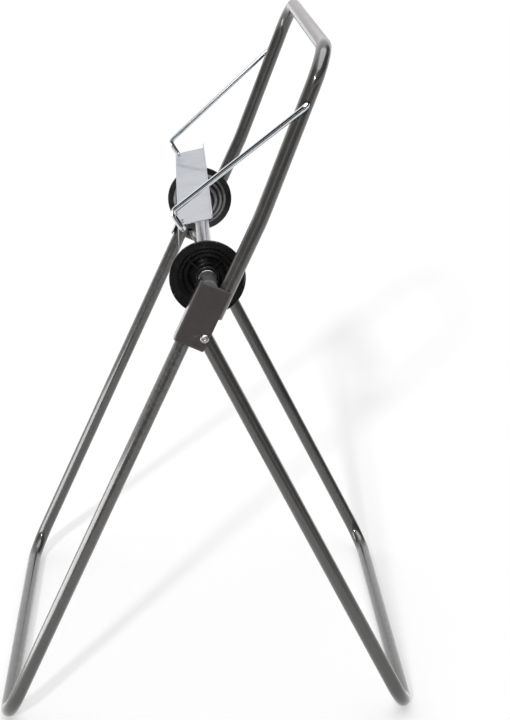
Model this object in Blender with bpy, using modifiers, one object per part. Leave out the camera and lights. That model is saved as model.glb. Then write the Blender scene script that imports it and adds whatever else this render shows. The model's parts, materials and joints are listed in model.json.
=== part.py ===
"""Folding floor stand for a wide roll of wiping paper.

Two U-shaped leg frames and an upper frame of round tube meet in a sheet bracket on each side. The rear
legs fold about a rivet in each bracket. A tube axle with two stepped cones drops into the brackets, and a
wire bail, hung in holes of the upper frame, carries the sheet that the paper is torn off against.

Units are metres and degrees. +Z is up, -Y is the front, +X is the right-hand side, and the origin is on
the floor in the middle of the stand.
"""
import math

import bmesh
import bpy
from mathutils import Matrix, Vector

# ---------------------------------------------------------------- driving dimensions
TUBE_RADIUS = 0.010
TUBE_WALL = 0.0015
TUBE_SIDES = 16
LEG_X = 0.285                 # middle of every side tube, either side of the centre
FOOT_Y = 0.2792               # middle of each floor bar, in front of and behind the centre
FRONT_LEAN = math.radians(24.8)
REAR_LEAN = math.radians(26.75)
UPPER_LEAN = math.radians(21.0)
TOP_BAR_Y = 0.1537
TOP_BAR_Z = 0.9256
FOOT_BEND = 0.045             # bend radius of the floor corners, on the tube's middle line
TOP_BEND = 0.048
KNEE_BEND = 0.300             # the slight bend of the upper frame above the bracket

RIVET_LANE = 0.0222           # rivet's distance behind the front leg's middle line
PAST_RIVET = 0.0076           # rear leg's length above the rivet
STOP_DISTANCE = 0.0114        # its slanted end, in front of the rivet
UPPER_LANE = 0.0238           # upper frame's distance behind the same line, inside the bracket

SHEET = 0.0015                # bracket sheet
BRACKET_LENGTH = 0.0865
BRACKET_BELOW_RIVET = 0.0175
BRACKET_REAR = 0.028          # web's rear edge, behind the front leg's middle line
BRACKET_FRONT = 0.0120        # inner face of the front flange, in front of the same line
FLANGE_DEPTH = 0.020
FLANGE_BEND = 0.0018
UPPER_ABOVE_RIVET = 0.0295    # lower end of the upper frame

RIVET_RADIUS = 0.003
RIVET_HEAD_RADIUS = 0.0057
RIVET_HEAD_HEIGHT = 0.0022
RIVET_TAIL_RADIUS = 0.0048
RIVET_TAIL_HEIGHT = 0.0016
WASHER = 0.0009
WASHER_RADIUS = 0.0065

AXLE_ABOVE_RIVET = 0.0615     # axle's middle, measured along the front leg
AXLE_RADIUS = 0.010
AXLE_WALL = 0.0012
BUSH_RADIUS = 0.0117
BUSH_INNER_X = 0.2436
BUSH_CAP = 0.0030
BUSH_EDGE = 0.0006

CONE_BACK_X = 0.2424          # open back of each cone, at its outermost place
CONE_RADIUS = 0.050
CONE_STEPS = (          # outside of the cone from its nose to its rim: radius, height above the open back
    (0.0155, 0.0300), (0.0185, 0.0228), (0.0230, 0.0220), (0.0270, 0.0158), (0.0310, 0.0150),
    (0.0345, 0.0098), (0.0375, 0.0090), (0.0410, 0.0045), (CONE_RADIUS, 0.0040), (CONE_RADIUS, 0.0),
)
CONE_HOLLOW = (         # inside of the cone from its rim to the hub
    (0.0480, 0.0), (0.0480, 0.0021), (0.0399, 0.0025), (0.0364, 0.0070), (0.0334, 0.0078),
    (0.0299, 0.0130), (0.0259, 0.0138), (0.0219, 0.0200), (0.0150, 0.0208),
)
HUB_RADIUS = 0.0150
HUB_BACK = 0.0030             # the hub's rear face, above the open back
GROOVE_RADIUS = 0.0130
GROOVE = (0.0130, 0.0170)     # from and to, above the open back
RIB_OUTLINE = (         # a rib between the hub and the stepped wall: radius, height above the open back
    (0.0138, 0.0110), (0.0318, 0.0110), (0.0305, 0.0140), (0.0270, 0.0148), (0.0226, 0.0210),
    (0.0180, 0.0218), (0.0138, 0.0220),
)
RIB_COUNT = 4
RIB_START = math.radians(42)  # from straight up, towards the rear
RIB_THICKNESS = 0.0018

BAIL_RADIUS = 0.00375
BAIL_PIVOT_Z = 0.861
BAIL_HOLE_RADIUS = 0.0045
BAIL_SIDE_X = 0.2478          # arm where it passes the end of the tear plate
BAIL_ELBOW = Vector((-0.0390, 0.7170))      # y, z of the arm's lower bend
BAIL_CROSS = Vector((-0.0250, 0.6944))      # y, z of the rod under the plate
BAIL_BENDS = (0.006, 0.009, 0.006)          # bend radius at the hook, the elbow and the plate's end
HOOK_START_X = LEG_X - 0.0005

PLATE_SHEET = 0.0010
PLATE_HALF_LENGTH = 0.2425
PLATE_CORNER = Vector((-0.0305, 0.6985))    # y, z of the front edge of the broad face
PLATE_REAR = Vector((0.0132, 0.7080))
PLATE_BENDS = (0.0022, 0.0012)
PLATE_LIP = 0.0070
PLATE_DROP = 0.0347           # height of the front flange
TOOTH_DEPTH = 0.0015
TOOTH_COUNT = 48
TOOTH_ROOT = 0.0005           # how far the teeth's points stay below the cut between them
CLIP_X = 0.225
CLIP_WIDTH = 0.010
CLIP_SHEET = 0.0010
CLIP_TAB = 0.006              # flat tab under the plate
CLIP_TAB_PLACE = 0.012        # its front end, along the slope of the plate
CLIP_WRAP = (math.radians(-12), math.radians(-138))      # round the rod, from the rear to the front
CLIP_HOLE_RADIUS = 0.0014
CLIP_HOLE_OFFSET = 0.0065     # either side of the clip

GAP = 0.0003                  # between pieces that touch
SIDES = (("left", -1), ("right", 1))

# ---------------------------------------------------------------- places worked out from them
BAR_Z = TUBE_RADIUS * math.cos(math.pi / TUBE_SIDES)     # a flat of the tube rests on the floor
FRONT_UP = Vector((0, math.sin(FRONT_LEAN), math.cos(FRONT_LEAN)))
FRONT_BACK = Vector((0, math.cos(FRONT_LEAN), -math.sin(FRONT_LEAN)))
REAR_UP = Vector((0, -math.sin(REAR_LEAN), math.cos(REAR_LEAN)))
FRONT_FOOT = Vector((0, -FOOT_Y, BAR_Z))
REAR_FOOT = Vector((0, FOOT_Y, BAR_Z))
FOOT_TO_FOOT = REAR_FOOT - FRONT_FOOT
REAR_LENGTH = (FOOT_TO_FOOT.dot(FRONT_BACK) - RIVET_LANE) / -REAR_UP.dot(FRONT_BACK)
PIVOT = REAR_FOOT + REAR_UP * REAR_LENGTH
RIVET_S = (PIVOT - FRONT_FOOT).dot(FRONT_UP)             # along the front leg, from its foot
BRACKET_TOP_S = RIVET_S - BRACKET_BELOW_RIVET + BRACKET_LENGTH
AXLE_S = RIVET_S + AXLE_ABOVE_RIVET
AXLE = FRONT_FOOT + FRONT_UP * AXLE_S
LEG_TOP_S = AXLE_S - BUSH_RADIUS - GAP
TUBE_OUTER_X = LEG_X + TUBE_RADIUS
WEB_INNER_X = TUBE_OUTER_X + WASHER + 2 * GAP
WEB_OUTER_X = WEB_INNER_X + SHEET
RIVET_TAIL_X = LEG_X - TUBE_RADIUS - WASHER - 2 * GAP
BUSH_END_X = WEB_INNER_X - GAP
HUB_BORE = AXLE_RADIUS + GAP
UPPER_UP = Vector((0, math.sin(UPPER_LEAN), math.cos(UPPER_LEAN)))
TOP_BAR = Vector((0, TOP_BAR_Y, TOP_BAR_Z))
UPPER_START = FRONT_FOOT + FRONT_UP * (RIVET_S + UPPER_ABOVE_RIVET) + FRONT_BACK * UPPER_LANE
KNEE_BACK = ((TOP_BAR - FRONT_FOOT).dot(FRONT_BACK) - UPPER_LANE) / UPPER_UP.dot(FRONT_BACK)
KNEE = TOP_BAR - UPPER_UP * KNEE_BACK
BAIL_PIVOT = TOP_BAR - UPPER_UP * ((TOP_BAR_Z - BAIL_PIVOT_Z) / UPPER_UP.z)

ALONG_X = Matrix(((0, 0, 1), (1, 0, 0), (0, 1, 0))).to_4x4()      # local x, y, z to world y, z, x


# ---------------------------------------------------------------- scene, collections, materials
for old in list(bpy.data.objects):
    bpy.data.objects.remove(old, do_unlink=True)

PARTS = bpy.data.collections.new("paper_roll_floor_stand")
CUTTERS = bpy.data.collections.new("cutters")
bpy.context.scene.collection.children.link(PARTS)
bpy.context.scene.collection.children.link(CUTTERS)


def material(name, colour, roughness, metallic):
    """A Principled material of one colour."""
    result = bpy.data.materials.new(name)
    result.use_nodes = True
    shader = result.node_tree.nodes["Principled BSDF"]
    shader.inputs["Base Color"].default_value = (*colour, 1)
    shader.inputs["Roughness"].default_value = roughness
    shader.inputs["Metallic"].default_value = metallic
    result.diffuse_color = (*colour, 1)
    return result


PAINT = ("painted_steel", (0.095, 0.090, 0.085), 0.38, 0.6)
BRIGHT = ("bright_steel", (0.62, 0.62, 0.64), 0.22, 1.0)
GALVANISED = ("galvanised_sheet", (0.62, 0.66, 0.72), 0.42, 0.8)
BLACK = ("black_plastic", (0.012, 0.011, 0.011), 0.42, 0.0)
GREY = ("grey_plastic", (0.30, 0.31, 0.33), 0.40, 0.0)
RUBBER = ("rubber", (0.02, 0.02, 0.02), 0.85, 0.0)
NYLON = ("nylon", (0.72, 0.71, 0.68), 0.50, 0.0)


def finish_part(obj, finish):
    """Put a finished piece in the stand's collection with a material of its own and smooth round faces."""
    for owner in list(obj.users_collection):
        owner.objects.unlink(obj)
    PARTS.objects.link(obj)
    obj.data.materials.clear()
    obj.data.materials.append(material(f"{obj.name}_{finish[0]}", *finish[1:]))
    obj.data.shade_smooth()
    obj.data.set_sharp_from_angle(angle=math.radians(35))
    return obj


def as_cutter(obj):
    """Keep a guide or cutter out of the stand itself."""
    for owner in list(obj.users_collection):
        owner.objects.unlink(obj)
    CUTTERS.objects.link(obj)
    obj.hide_render = True
    obj.display_type = "WIRE"
    return obj


def boolean(obj, operation, other):
    """Add a Boolean that stays on the object."""
    modifier = obj.modifiers.new(f"{operation.lower()} {other.name}", "BOOLEAN")
    modifier.operation = operation
    modifier.solver = "EXACT"
    modifier.object = other


# ---------------------------------------------------------------- shapes
def rounded_path(corners, radii, steps):
    """Corner points with each inner corner turned into an arc of its radius, in its number of steps."""
    path = [Vector(corners[0])]
    for before, corner, after, radius, pieces in zip(corners, corners[1:], corners[2:], radii, steps):
        into = (Vector(corner) - Vector(before)).normalized()
        out = (Vector(after) - Vector(corner)).normalized()
        turn = into.angle(out)
        start = Vector(corner) - into * radius * math.tan(turn / 2)
        side = (out - into * into.dot(out)).normalized()
        for step in range(pieces + 1):
            angle = turn * step / pieces
            path.append(start + into * radius * math.sin(angle) + side * radius * (1 - math.cos(angle)))
    path.append(Vector(corners[-1]))
    return path


def curve_to_mesh(curve, name, closed=True):
    """Swap a curve object for the mesh that it evaluates to, with its caps welded."""
    bpy.context.view_layer.update()
    evaluated = curve.evaluated_get(bpy.context.evaluated_depsgraph_get())
    mesh = bpy.data.meshes.new_from_object(evaluated)
    bpy.data.objects.remove(curve, do_unlink=True)
    work = bmesh.new()
    work.from_mesh(mesh)
    bmesh.ops.remove_doubles(work, verts=work.verts, dist=1e-6)
    if closed:
        bmesh.ops.recalc_face_normals(work, faces=work.faces)
    work.to_mesh(mesh)
    work.free()
    result = bpy.data.objects.new(name, mesh)
    bpy.context.scene.collection.objects.link(result)
    return result


def new_curve(name, points, dimensions, cyclic):
    """A curve object with one straight-sided spline."""
    data = bpy.data.curves.new(name, "CURVE")
    data.dimensions = dimensions
    spline = data.splines.new("POLY")
    spline.points.add(len(points) - 1)
    for target, point in zip(spline.points, points):
        target.co = (*point, 1)
    spline.use_cyclic_u = cyclic
    curve = bpy.data.objects.new(name, data)
    bpy.context.scene.collection.objects.link(curve)
    return curve


def rod(name, path, radius, sides, tilt=0.0):
    """A solid round bar along a path. tilt turns its flats about the path."""
    curve = new_curve(name, path, "3D", False)
    curve.data.bevel_depth = radius
    curve.data.bevel_resolution = (sides - 4) // 2
    curve.data.use_fill_caps = True
    curve.data.twist_mode = "Z_UP"
    for point in curve.data.splines[0].points:
        point.tilt = tilt
    return curve_to_mesh(curve, name)


def pipe(name, path, radius, wall, sides, tilt=0.0):
    """A round tube along a path, open at both ends."""
    beyond = 2 * radius
    bore_path = [path[0] + (path[0] - path[1]).normalized() * beyond, *path[1:-1],
                 path[-1] + (path[-1] - path[-2]).normalized() * beyond]
    outside = rod(name, path, radius, sides, tilt)
    bore = as_cutter(rod(f"{name}_bore", bore_path, radius - wall, sides, tilt))
    boolean(outside, "DIFFERENCE", bore)
    return outside, bore


def place(obj, matrix):
    """Move an object to a place given as a matrix."""
    obj.matrix_world = matrix
    return obj


def flat_outline(name, outline, thickness, matrix):
    """A flat piece: an outline in local x and y, with its thickness across local z."""
    curve = new_curve(name, [(x, y, 0) for x, y in outline], "2D", True)
    curve.data.fill_mode = "BOTH"
    curve.data.extrude = thickness / 2
    return place(curve_to_mesh(curve, name), matrix)


def folded_sheet(name, profile, width, thickness, offset, matrix):
    """A bent sheet: a profile in local x and y, its width across local z. offset 1 grows to its left."""
    ribbon = new_curve(name, [(x, y, 0) for x, y in profile], "2D", False)
    ribbon.data.fill_mode = "NONE"
    ribbon.data.extrude = width / 2
    sheet = place(curve_to_mesh(ribbon, name, closed=False), matrix)
    modifier = sheet.modifiers.new("thickness", "SOLIDIFY")
    modifier.thickness = thickness
    modifier.offset = offset
    modifier.use_even_offset = True
    return sheet


def turned(name, profile, steps, location, inward):
    """A turned piece: (radius, height) points round local z, which points inward or outward along X."""
    mesh = bpy.data.meshes.new(name)
    count = len(profile)
    closed_on_axis = profile[0][0] == 0 and profile[-1][0] == 0
    edges = [(i, i + 1) for i in range(count - 1)]
    if not closed_on_axis:
        edges.append((count - 1, 0))
    mesh.from_pydata([(radius, 0, height) for radius, height in profile], edges, [])
    obj = bpy.data.objects.new(name, mesh)
    bpy.context.scene.collection.objects.link(obj)
    screw = obj.modifiers.new("turn", "SCREW")
    screw.axis = "Z"
    screw.angle = 2 * math.pi
    screw.steps = steps
    screw.render_steps = steps
    screw.use_merge_vertices = True
    screw.merge_threshold = 0.00001
    sign = math.copysign(1, location[0])
    turn = -90 * sign if inward else 90 * sign
    obj.matrix_world = Matrix.Translation(location) @ Matrix.Rotation(math.radians(turn), 4, "Y")
    return obj


def drill(name, centre, radius, length):
    """A round cutter along X."""
    mesh = bpy.data.meshes.new(name)
    work = bmesh.new()
    bmesh.ops.create_cone(work, cap_ends=True, segments=24, radius1=radius, radius2=radius, depth=length)
    work.to_mesh(mesh)
    work.free()
    cutter = bpy.data.objects.new(name, mesh)
    cutter.matrix_world = Matrix.Translation(centre) @ Matrix.Rotation(math.pi / 2, 4, "Y")
    return as_cutter(cutter)


def block(name, centre, size, turn):
    """A box cutter, turned about X."""
    mesh = bpy.data.meshes.new(name)
    work = bmesh.new()
    bmesh.ops.create_cube(work, size=1)
    bmesh.ops.scale(work, vec=size, verts=work.verts)
    work.to_mesh(mesh)
    work.free()
    cutter = bpy.data.objects.new(name, mesh)
    cutter.matrix_world = Matrix.Translation(centre) @ Matrix.Rotation(turn, 4, "X")
    return as_cutter(cutter)


# ---------------------------------------------------------------- the three tube frames
def leg_frame(name, foot, up, top_s):
    """A U of tube: down one leg, round two bends and along the floor bar, and up the other leg."""
    across = Vector((LEG_X, 0, 0))
    corners = [foot - across + up * top_s, foot - across, foot + across, foot + across + up * top_s]
    path = rounded_path(corners, (FOOT_BEND, FOOT_BEND), (4, 4))
    half_side = math.pi / TUBE_SIDES
    return pipe(name, path, TUBE_RADIUS, TUBE_WALL, TUBE_SIDES, half_side)[0]


def make_front_legs():
    return finish_part(leg_frame("front_leg_frame", FRONT_FOOT, FRONT_UP, LEG_TOP_S), PAINT)


def make_rear_legs():
    """The rear legs end in a slanted cut that meets the front legs when the stand is open."""
    frame = leg_frame("rear_leg_frame", REAR_FOOT, REAR_UP, REAR_LENGTH + PAST_RIVET)
    depth = 2 * TUBE_RADIUS
    size = (3 * TUBE_RADIUS, depth, 6 * TUBE_RADIUS)
    for side, sign in SIDES:
        pivot = PIVOT + Vector((sign * LEG_X, 0, 0))
        centre = pivot - FRONT_BACK * (STOP_DISTANCE + depth / 2)
        boolean(frame, "DIFFERENCE", block(f"rear_leg_stop_cut_{side}", centre, size, -FRONT_LEAN))
        hole = drill(f"rear_leg_hole_{side}", pivot, RIVET_RADIUS + GAP, 3 * TUBE_RADIUS)
        boolean(frame, "DIFFERENCE", hole)
    return finish_part(frame, PAINT)


def make_upper_frame():
    """An upside-down U with a slight bend in each side and a hole for the bail in each outer wall."""
    across = Vector((LEG_X, 0, 0))
    corners = [UPPER_START - across, KNEE - across, TOP_BAR - across,
               TOP_BAR + across, KNEE + across, UPPER_START + across]
    path = rounded_path(corners, (KNEE_BEND, TOP_BEND, TOP_BEND, KNEE_BEND), (2, 5, 5, 2))
    frame = pipe("upper_frame", path, TUBE_RADIUS, TUBE_WALL, TUBE_SIDES)[0]
    for side, sign in SIDES:
        wall = BAIL_PIVOT + Vector((sign * TUBE_OUTER_X, 0, 0))
        boolean(frame, "DIFFERENCE", drill(f"bail_hole_{side}", wall, BAIL_HOLE_RADIUS, TUBE_RADIUS))
    return finish_part(frame, PAINT)


# ---------------------------------------------------------------- brackets and rivets
def make_bracket(side, sign):
    """A web outside the tubes, with a front flange that closes the pocket where the axle drops in."""
    profile = [(-BRACKET_FRONT, WEB_INNER_X - FLANGE_DEPTH)]
    bend_steps = 4
    for step in range(bend_steps + 1):
        angle = math.pi / 2 * step / bend_steps
        profile.append((-BRACKET_FRONT + FLANGE_BEND * (1 - math.cos(angle)),
                        WEB_INNER_X - FLANGE_BEND + FLANGE_BEND * math.sin(angle)))
    profile.append((BRACKET_REAR, WEB_INNER_X))
    middle_s = BRACKET_TOP_S - BRACKET_LENGTH / 2
    # The sheet's profile lies across the leg: local x back, y out through the web, z down the leg.
    across = Matrix((FRONT_BACK, Vector((sign, 0, 0)), FRONT_BACK.cross(Vector((sign, 0, 0))))).transposed()
    matrix = Matrix.Translation(FRONT_FOOT + FRONT_UP * middle_s) @ across.to_4x4()
    bracket = folded_sheet(f"bracket_{side}", profile, BRACKET_LENGTH, SHEET, 1, matrix)
    hole = PIVOT + Vector((sign * WEB_OUTER_X, 0, 0))
    boolean(bracket, "DIFFERENCE", drill(f"bracket_hole_{side}", hole, RIVET_RADIUS + GAP, 4 * SHEET))
    return finish_part(bracket, PAINT)


def make_rivet(side, sign):
    """A domed rivet from the outside of the web to the inside of the rear leg."""
    dome_steps = 4
    head = [(0, RIVET_HEAD_HEIGHT)]
    for step in range(1, dome_steps + 1):
        angle = math.pi / 2 * step / dome_steps
        head.append((RIVET_HEAD_RADIUS * math.sin(angle), RIVET_HEAD_HEIGHT * math.cos(angle)))
    tail_top = RIVET_TAIL_X - WEB_OUTER_X - GAP
    tail_end = tail_top - RIVET_TAIL_HEIGHT
    tail = [(RIVET_RADIUS, 0), (RIVET_RADIUS, tail_top), (RIVET_TAIL_RADIUS, tail_top),
            (RIVET_TAIL_RADIUS * 0.8, tail_end), (0, tail_end)]
    location = PIVOT + Vector((sign * (WEB_OUTER_X + GAP), 0, 0))
    return finish_part(turned(f"pivot_rivet_{side}", head + tail, 16, location, False), BRIGHT)


def make_washer(name, x_inner, sign, finish):
    """A plain washer round the rivet, from x_inner outward."""
    inner = RIVET_RADIUS + GAP
    profile = [(WASHER_RADIUS, WASHER), (WASHER_RADIUS, 0), (inner, 0), (inner, WASHER)]
    location = PIVOT + Vector((sign * x_inner, 0, 0))
    return finish_part(turned(name, profile, 16, location, False), finish)


# ---------------------------------------------------------------- axle, bushes and cones
def make_axle():
    """The tube that carries the roll. It turns in a bush at each end."""
    half = BUSH_END_X - BUSH_CAP - GAP
    path = [AXLE + Vector((-half, 0, 0)), AXLE + Vector((half, 0, 0))]
    return finish_part(pipe("axle_tube", path, AXLE_RADIUS, AXLE_WALL, 20)[0], BRIGHT)


def make_bush(side, sign):
    """A capped sleeve over the end of the axle. It rests in the bracket's pocket."""
    bore = AXLE_RADIUS + GAP
    length = BUSH_END_X - BUSH_INNER_X
    end_radius = BUSH_RADIUS - BUSH_EDGE
    profile = [(0, length), (end_radius, length), (BUSH_RADIUS, length - BUSH_EDGE), (BUSH_RADIUS, BUSH_EDGE),
               (end_radius, 0), (bore, 0), (bore, length - BUSH_CAP), (0, length - BUSH_CAP)]
    location = AXLE + Vector((sign * BUSH_INNER_X, 0, 0))
    return finish_part(turned(f"axle_bush_{side}", profile, 24, location, False), GREY)


def make_cone(side, sign):
    """A hollow stepped cone that centres the roll, with ribs in its back and a groove in its hub."""
    hub = [(HUB_RADIUS, HUB_BACK), (HUB_BORE, HUB_BACK), (HUB_BORE, GROOVE[0]), (GROOVE_RADIUS, GROOVE[0]),
           (GROOVE_RADIUS, GROOVE[1]), (HUB_BORE, GROOVE[1]), (HUB_BORE, CONE_STEPS[0][1])]
    location = AXLE + Vector((sign * CONE_BACK_X, 0, 0))
    profile = [*CONE_STEPS, *CONE_HOLLOW, *hub]
    cone = turned(f"cone_{side}", profile, 24, location, True)
    upright = Matrix.Rotation(math.pi / 2, 4, "X")
    for number in range(RIB_COUNT):
        turn = Matrix.Rotation(RIB_START + 2 * math.pi / RIB_COUNT * number, 4, "Z")
        rib = flat_outline(f"cone_rib_{side}_{number}", RIB_OUTLINE, RIB_THICKNESS,
                           cone.matrix_world @ turn @ upright)
        boolean(cone, "UNION", as_cutter(rib))
    return finish_part(cone, BLACK)


def make_grip_ring(side, sign):
    """A rubber ring in the hub's groove, which keeps the cone where it is pushed."""
    cord = (GROOVE_RADIUS - AXLE_RADIUS) / 2 - GAP
    middle = (GROOVE_RADIUS + AXLE_RADIUS) / 2
    height = sum(GROOVE) / 2
    profile = [(middle + cord * math.cos(a), height + cord * math.sin(a))
               for a in (-2 * math.pi * k / 6 for k in range(6))]
    location = AXLE + Vector((sign * CONE_BACK_X, 0, 0))
    return finish_part(turned(f"cone_grip_ring_{side}", profile, 20, location, True), RUBBER)


# ---------------------------------------------------------------- bail and tear plate
def make_bail():
    """One bent rod: its ends turn inward into the holes, its middle runs under the tear plate."""
    straight_to = TUBE_OUTER_X + GAP
    elbow = Vector((BAIL_SIDE_X, *BAIL_ELBOW))
    arm = (elbow - BAIL_PIVOT - Vector((straight_to, 0, 0))).normalized()
    hook_x = straight_to + BAIL_BENDS[0] * math.tan(Vector((1, 0, 0)).angle(arm) / 2)
    half = [BAIL_PIVOT + Vector((HOOK_START_X, 0, 0)), BAIL_PIVOT + Vector((hook_x, 0, 0)), elbow,
            Vector((BAIL_SIDE_X, *BAIL_CROSS))]
    mirrored = [Vector((-point.x, point.y, point.z)) for point in reversed(half)]
    path = rounded_path(half + mirrored, BAIL_BENDS + BAIL_BENDS[::-1], (5, 3, 4, 4, 3, 5))
    return finish_part(rod("tear_bail", path, BAIL_RADIUS, 12), BRIGHT)


def plate_profile():
    """y and z along the outside of the tear plate: up the front flange, back, and up the rear lip."""
    slope = (PLATE_REAR - PLATE_CORNER).normalized()
    lip = Vector((-slope.y, slope.x))
    corners = [(*(PLATE_CORNER - Vector((0, PLATE_DROP))), 0), (*PLATE_CORNER, 0), (*PLATE_REAR, 0),
               (*(PLATE_REAR + lip * PLATE_LIP), 0)]
    return [(point.x, point.y) for point in rounded_path(corners, PLATE_BENDS, (3, 2))]


def make_plate():
    """A folded sheet: the front flange has a toothed edge, and two holes show over each clip."""
    plate = folded_sheet("tear_plate", plate_profile(), 2 * PLATE_HALF_LENGTH, PLATE_SHEET, -1, ALONG_X)
    edge_z = PLATE_CORNER.y - PLATE_DROP
    pitch = 2 * PLATE_HALF_LENGTH / TOOTH_COUNT
    beyond = PLATE_HALF_LENGTH + pitch
    outline = [(beyond, edge_z - TOOTH_DEPTH), (-beyond, edge_z - TOOTH_DEPTH)]
    for tooth in range(TOOTH_COUNT + 1):
        middle = -PLATE_HALF_LENGTH + pitch * tooth
        outline.append((middle - pitch / 2, edge_z - TOOTH_ROOT))
        outline.append((middle, edge_z + TOOTH_DEPTH))
    outline.append((PLATE_HALF_LENGTH + pitch / 2, edge_z - TOOTH_ROOT))
    upright = Matrix.Translation((0, PLATE_CORNER.x, 0)) @ Matrix.Rotation(math.pi / 2, 4, "X")
    boolean(plate, "DIFFERENCE", as_cutter(flat_outline("tear_teeth", outline, 10 * PLATE_SHEET, upright)))
    for side, sign in SIDES:
        for number, offset in enumerate((-CLIP_HOLE_OFFSET, CLIP_HOLE_OFFSET)):
            centre = (sign * (CLIP_X + offset), BAIL_CROSS.x, PLATE_CORNER.y)
            hole = drill(f"clip_hole_{side}_{number}", centre, CLIP_HOLE_RADIUS, 10 * PLATE_SHEET)
            hole.matrix_world = Matrix.Translation(centre)
            boolean(plate, "DIFFERENCE", hole)
    return finish_part(plate, GALVANISED)


def make_clip(side, sign):
    """A saddle that holds the rod in the fold of the plate."""
    radius = BAIL_RADIUS + GAP
    slope = (PLATE_REAR - PLATE_CORNER).normalized()
    down = Vector((slope.y, -slope.x))
    tab = PLATE_CORNER + slope * CLIP_TAB_PLACE + down * (PLATE_SHEET + GAP)
    profile = [tab + slope * CLIP_TAB, tab]
    start, end = CLIP_WRAP
    wrap_steps = 8
    for step in range(wrap_steps + 1):
        angle = start + (end - start) * step / wrap_steps
        profile.append(BAIL_CROSS + Vector((math.cos(angle), math.sin(angle))) * radius)
    matrix = Matrix.Translation((sign * CLIP_X, 0, 0)) @ ALONG_X
    clip = folded_sheet(f"bail_clip_{side}", profile, CLIP_WIDTH, CLIP_SHEET, 1, matrix)
    return finish_part(clip, GALVANISED)


# ---------------------------------------------------------------- the stand
make_front_legs()
make_rear_legs()
make_upper_frame()
make_axle()
make_bail()
make_plate()
for side_name, side_sign in SIDES:
    make_bracket(side_name, side_sign)
    make_rivet(side_name, side_sign)
    make_washer(f"pivot_spacer_{side_name}", TUBE_OUTER_X + GAP, side_sign, NYLON)
    make_washer(f"rivet_washer_{side_name}", RIVET_TAIL_X + GAP, side_sign, BRIGHT)
    make_bush(side_name, side_sign)
    make_cone(side_name, side_sign)
    make_grip_ring(side_name, side_sign)
    make_clip(side_name, side_sign)
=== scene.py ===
"""The looks of a folding floor stand for wide rolls of wiping paper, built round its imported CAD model.

Every piece is made here as a fine mesh in the frame's own place, in metres: -Y is the front, +X the right.
"""

import json
import math

import bmesh
import bpy
from mathutils import Matrix, Vector


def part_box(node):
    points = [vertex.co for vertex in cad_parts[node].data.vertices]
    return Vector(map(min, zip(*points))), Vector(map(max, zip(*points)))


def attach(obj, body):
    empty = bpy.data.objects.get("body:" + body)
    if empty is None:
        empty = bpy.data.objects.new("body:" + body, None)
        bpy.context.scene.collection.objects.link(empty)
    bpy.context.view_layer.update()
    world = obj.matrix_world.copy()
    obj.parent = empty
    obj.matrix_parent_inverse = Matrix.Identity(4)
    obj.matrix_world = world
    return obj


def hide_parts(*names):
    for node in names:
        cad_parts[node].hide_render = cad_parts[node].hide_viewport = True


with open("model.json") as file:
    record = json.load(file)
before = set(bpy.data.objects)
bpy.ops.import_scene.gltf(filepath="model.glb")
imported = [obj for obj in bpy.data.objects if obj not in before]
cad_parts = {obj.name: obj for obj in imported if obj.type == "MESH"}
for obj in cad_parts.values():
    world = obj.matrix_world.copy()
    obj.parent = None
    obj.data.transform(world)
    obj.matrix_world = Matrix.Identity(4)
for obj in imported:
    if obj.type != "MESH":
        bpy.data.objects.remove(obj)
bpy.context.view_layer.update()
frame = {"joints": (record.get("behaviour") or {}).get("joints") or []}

# ---------------------------------------------------------------- sizes, as in the CAD model
TUBE_RADIUS = 0.010
TUBE_WALL = 0.0015
TUBE_SIDES = 48
RING_SPACING = 0.001          # between a tube's rings of points beside a hole
CAD_TUBE_SIDES = 16
FOOT_BEND = 0.045
TOP_BEND = 0.048
KNEE_BEND = 0.300
UPPER_LEAN = math.radians(21)
UPPER_LANE = 0.0238           # upper frame's distance behind the front leg's middle line
UPPER_ABOVE_RIVET = 0.0295
PAST_RIVET = 0.0076           # rear leg's length above the rivet
STOP_DISTANCE = 0.0114        # its slanted end, in front of the rivet
SHEET = 0.0015
BRACKET_LENGTH = 0.0865
BRACKET_BELOW_RIVET = 0.0175
BRACKET_REAR = 0.028
BRACKET_FRONT = 0.0120
FLANGE_DEPTH = 0.020
FLANGE_BEND = 0.0018
WASHER = 0.0009               # how thick washers and spacers are, and their outer radius
WASHER_RADIUS = 0.0065
RIVET_RADIUS = 0.003
GAP = 0.0003
AXLE_RADIUS = 0.010
AXLE_WALL = 0.0012
BUSH_RADIUS = 0.0117
BUSH_CAP = 0.0030
BAIL_RADIUS = 0.00375
BAIL_HOLE_RADIUS = 0.0045
BAIL_ELBOW = (-0.0390, 0.7170)
BAIL_CROSS = (-0.0250, 0.6944)
BAIL_SIDE_X = 0.2478
BAIL_CLEAR = 0.0006           # more room beside the tube, which the round rod passes when thrown back
BAIL_BENDS = (0.006, 0.009, 0.006)           # bend radius at the hook, the elbow and the plate's end
PLATE_SHEET = 0.0010
PLATE_CORNER = Vector((-0.0305, 0.6985))      # the two folds of the plate, seen from its end: Y, Z
PLATE_REAR = Vector((0.0132, 0.7080))
PLATE_SLOPE = (PLATE_REAR - PLATE_CORNER).normalized()
PLATE_UP = Vector((-PLATE_SLOPE.y, PLATE_SLOPE.x))
PLATE_LIP = 0.0070
PLATE_DROP = 0.0347
PLATE_BENDS = (0.0022, 0.0016)
TOOTH_COUNT = 48
TOOTH_DEPTH = 0.0015
CLIP_X = 0.225
CLIP_HOLE_OFFSET = 0.0065
CLIP_HOLE_RADIUS = 0.0014
CLIP_WIDTH = 0.010
CLIP_SHEET = 0.0010
CLIP_TAB = 0.006              # flat tab under the plate
CLIP_TAB_PLACE = 0.012        # its front end, along the slope of the plate
CLIP_WRAP = (math.radians(-12), math.radians(-138))      # round the rod, from the rear to the front
SIDES = (("left", -1), ("right", 1))


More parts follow.
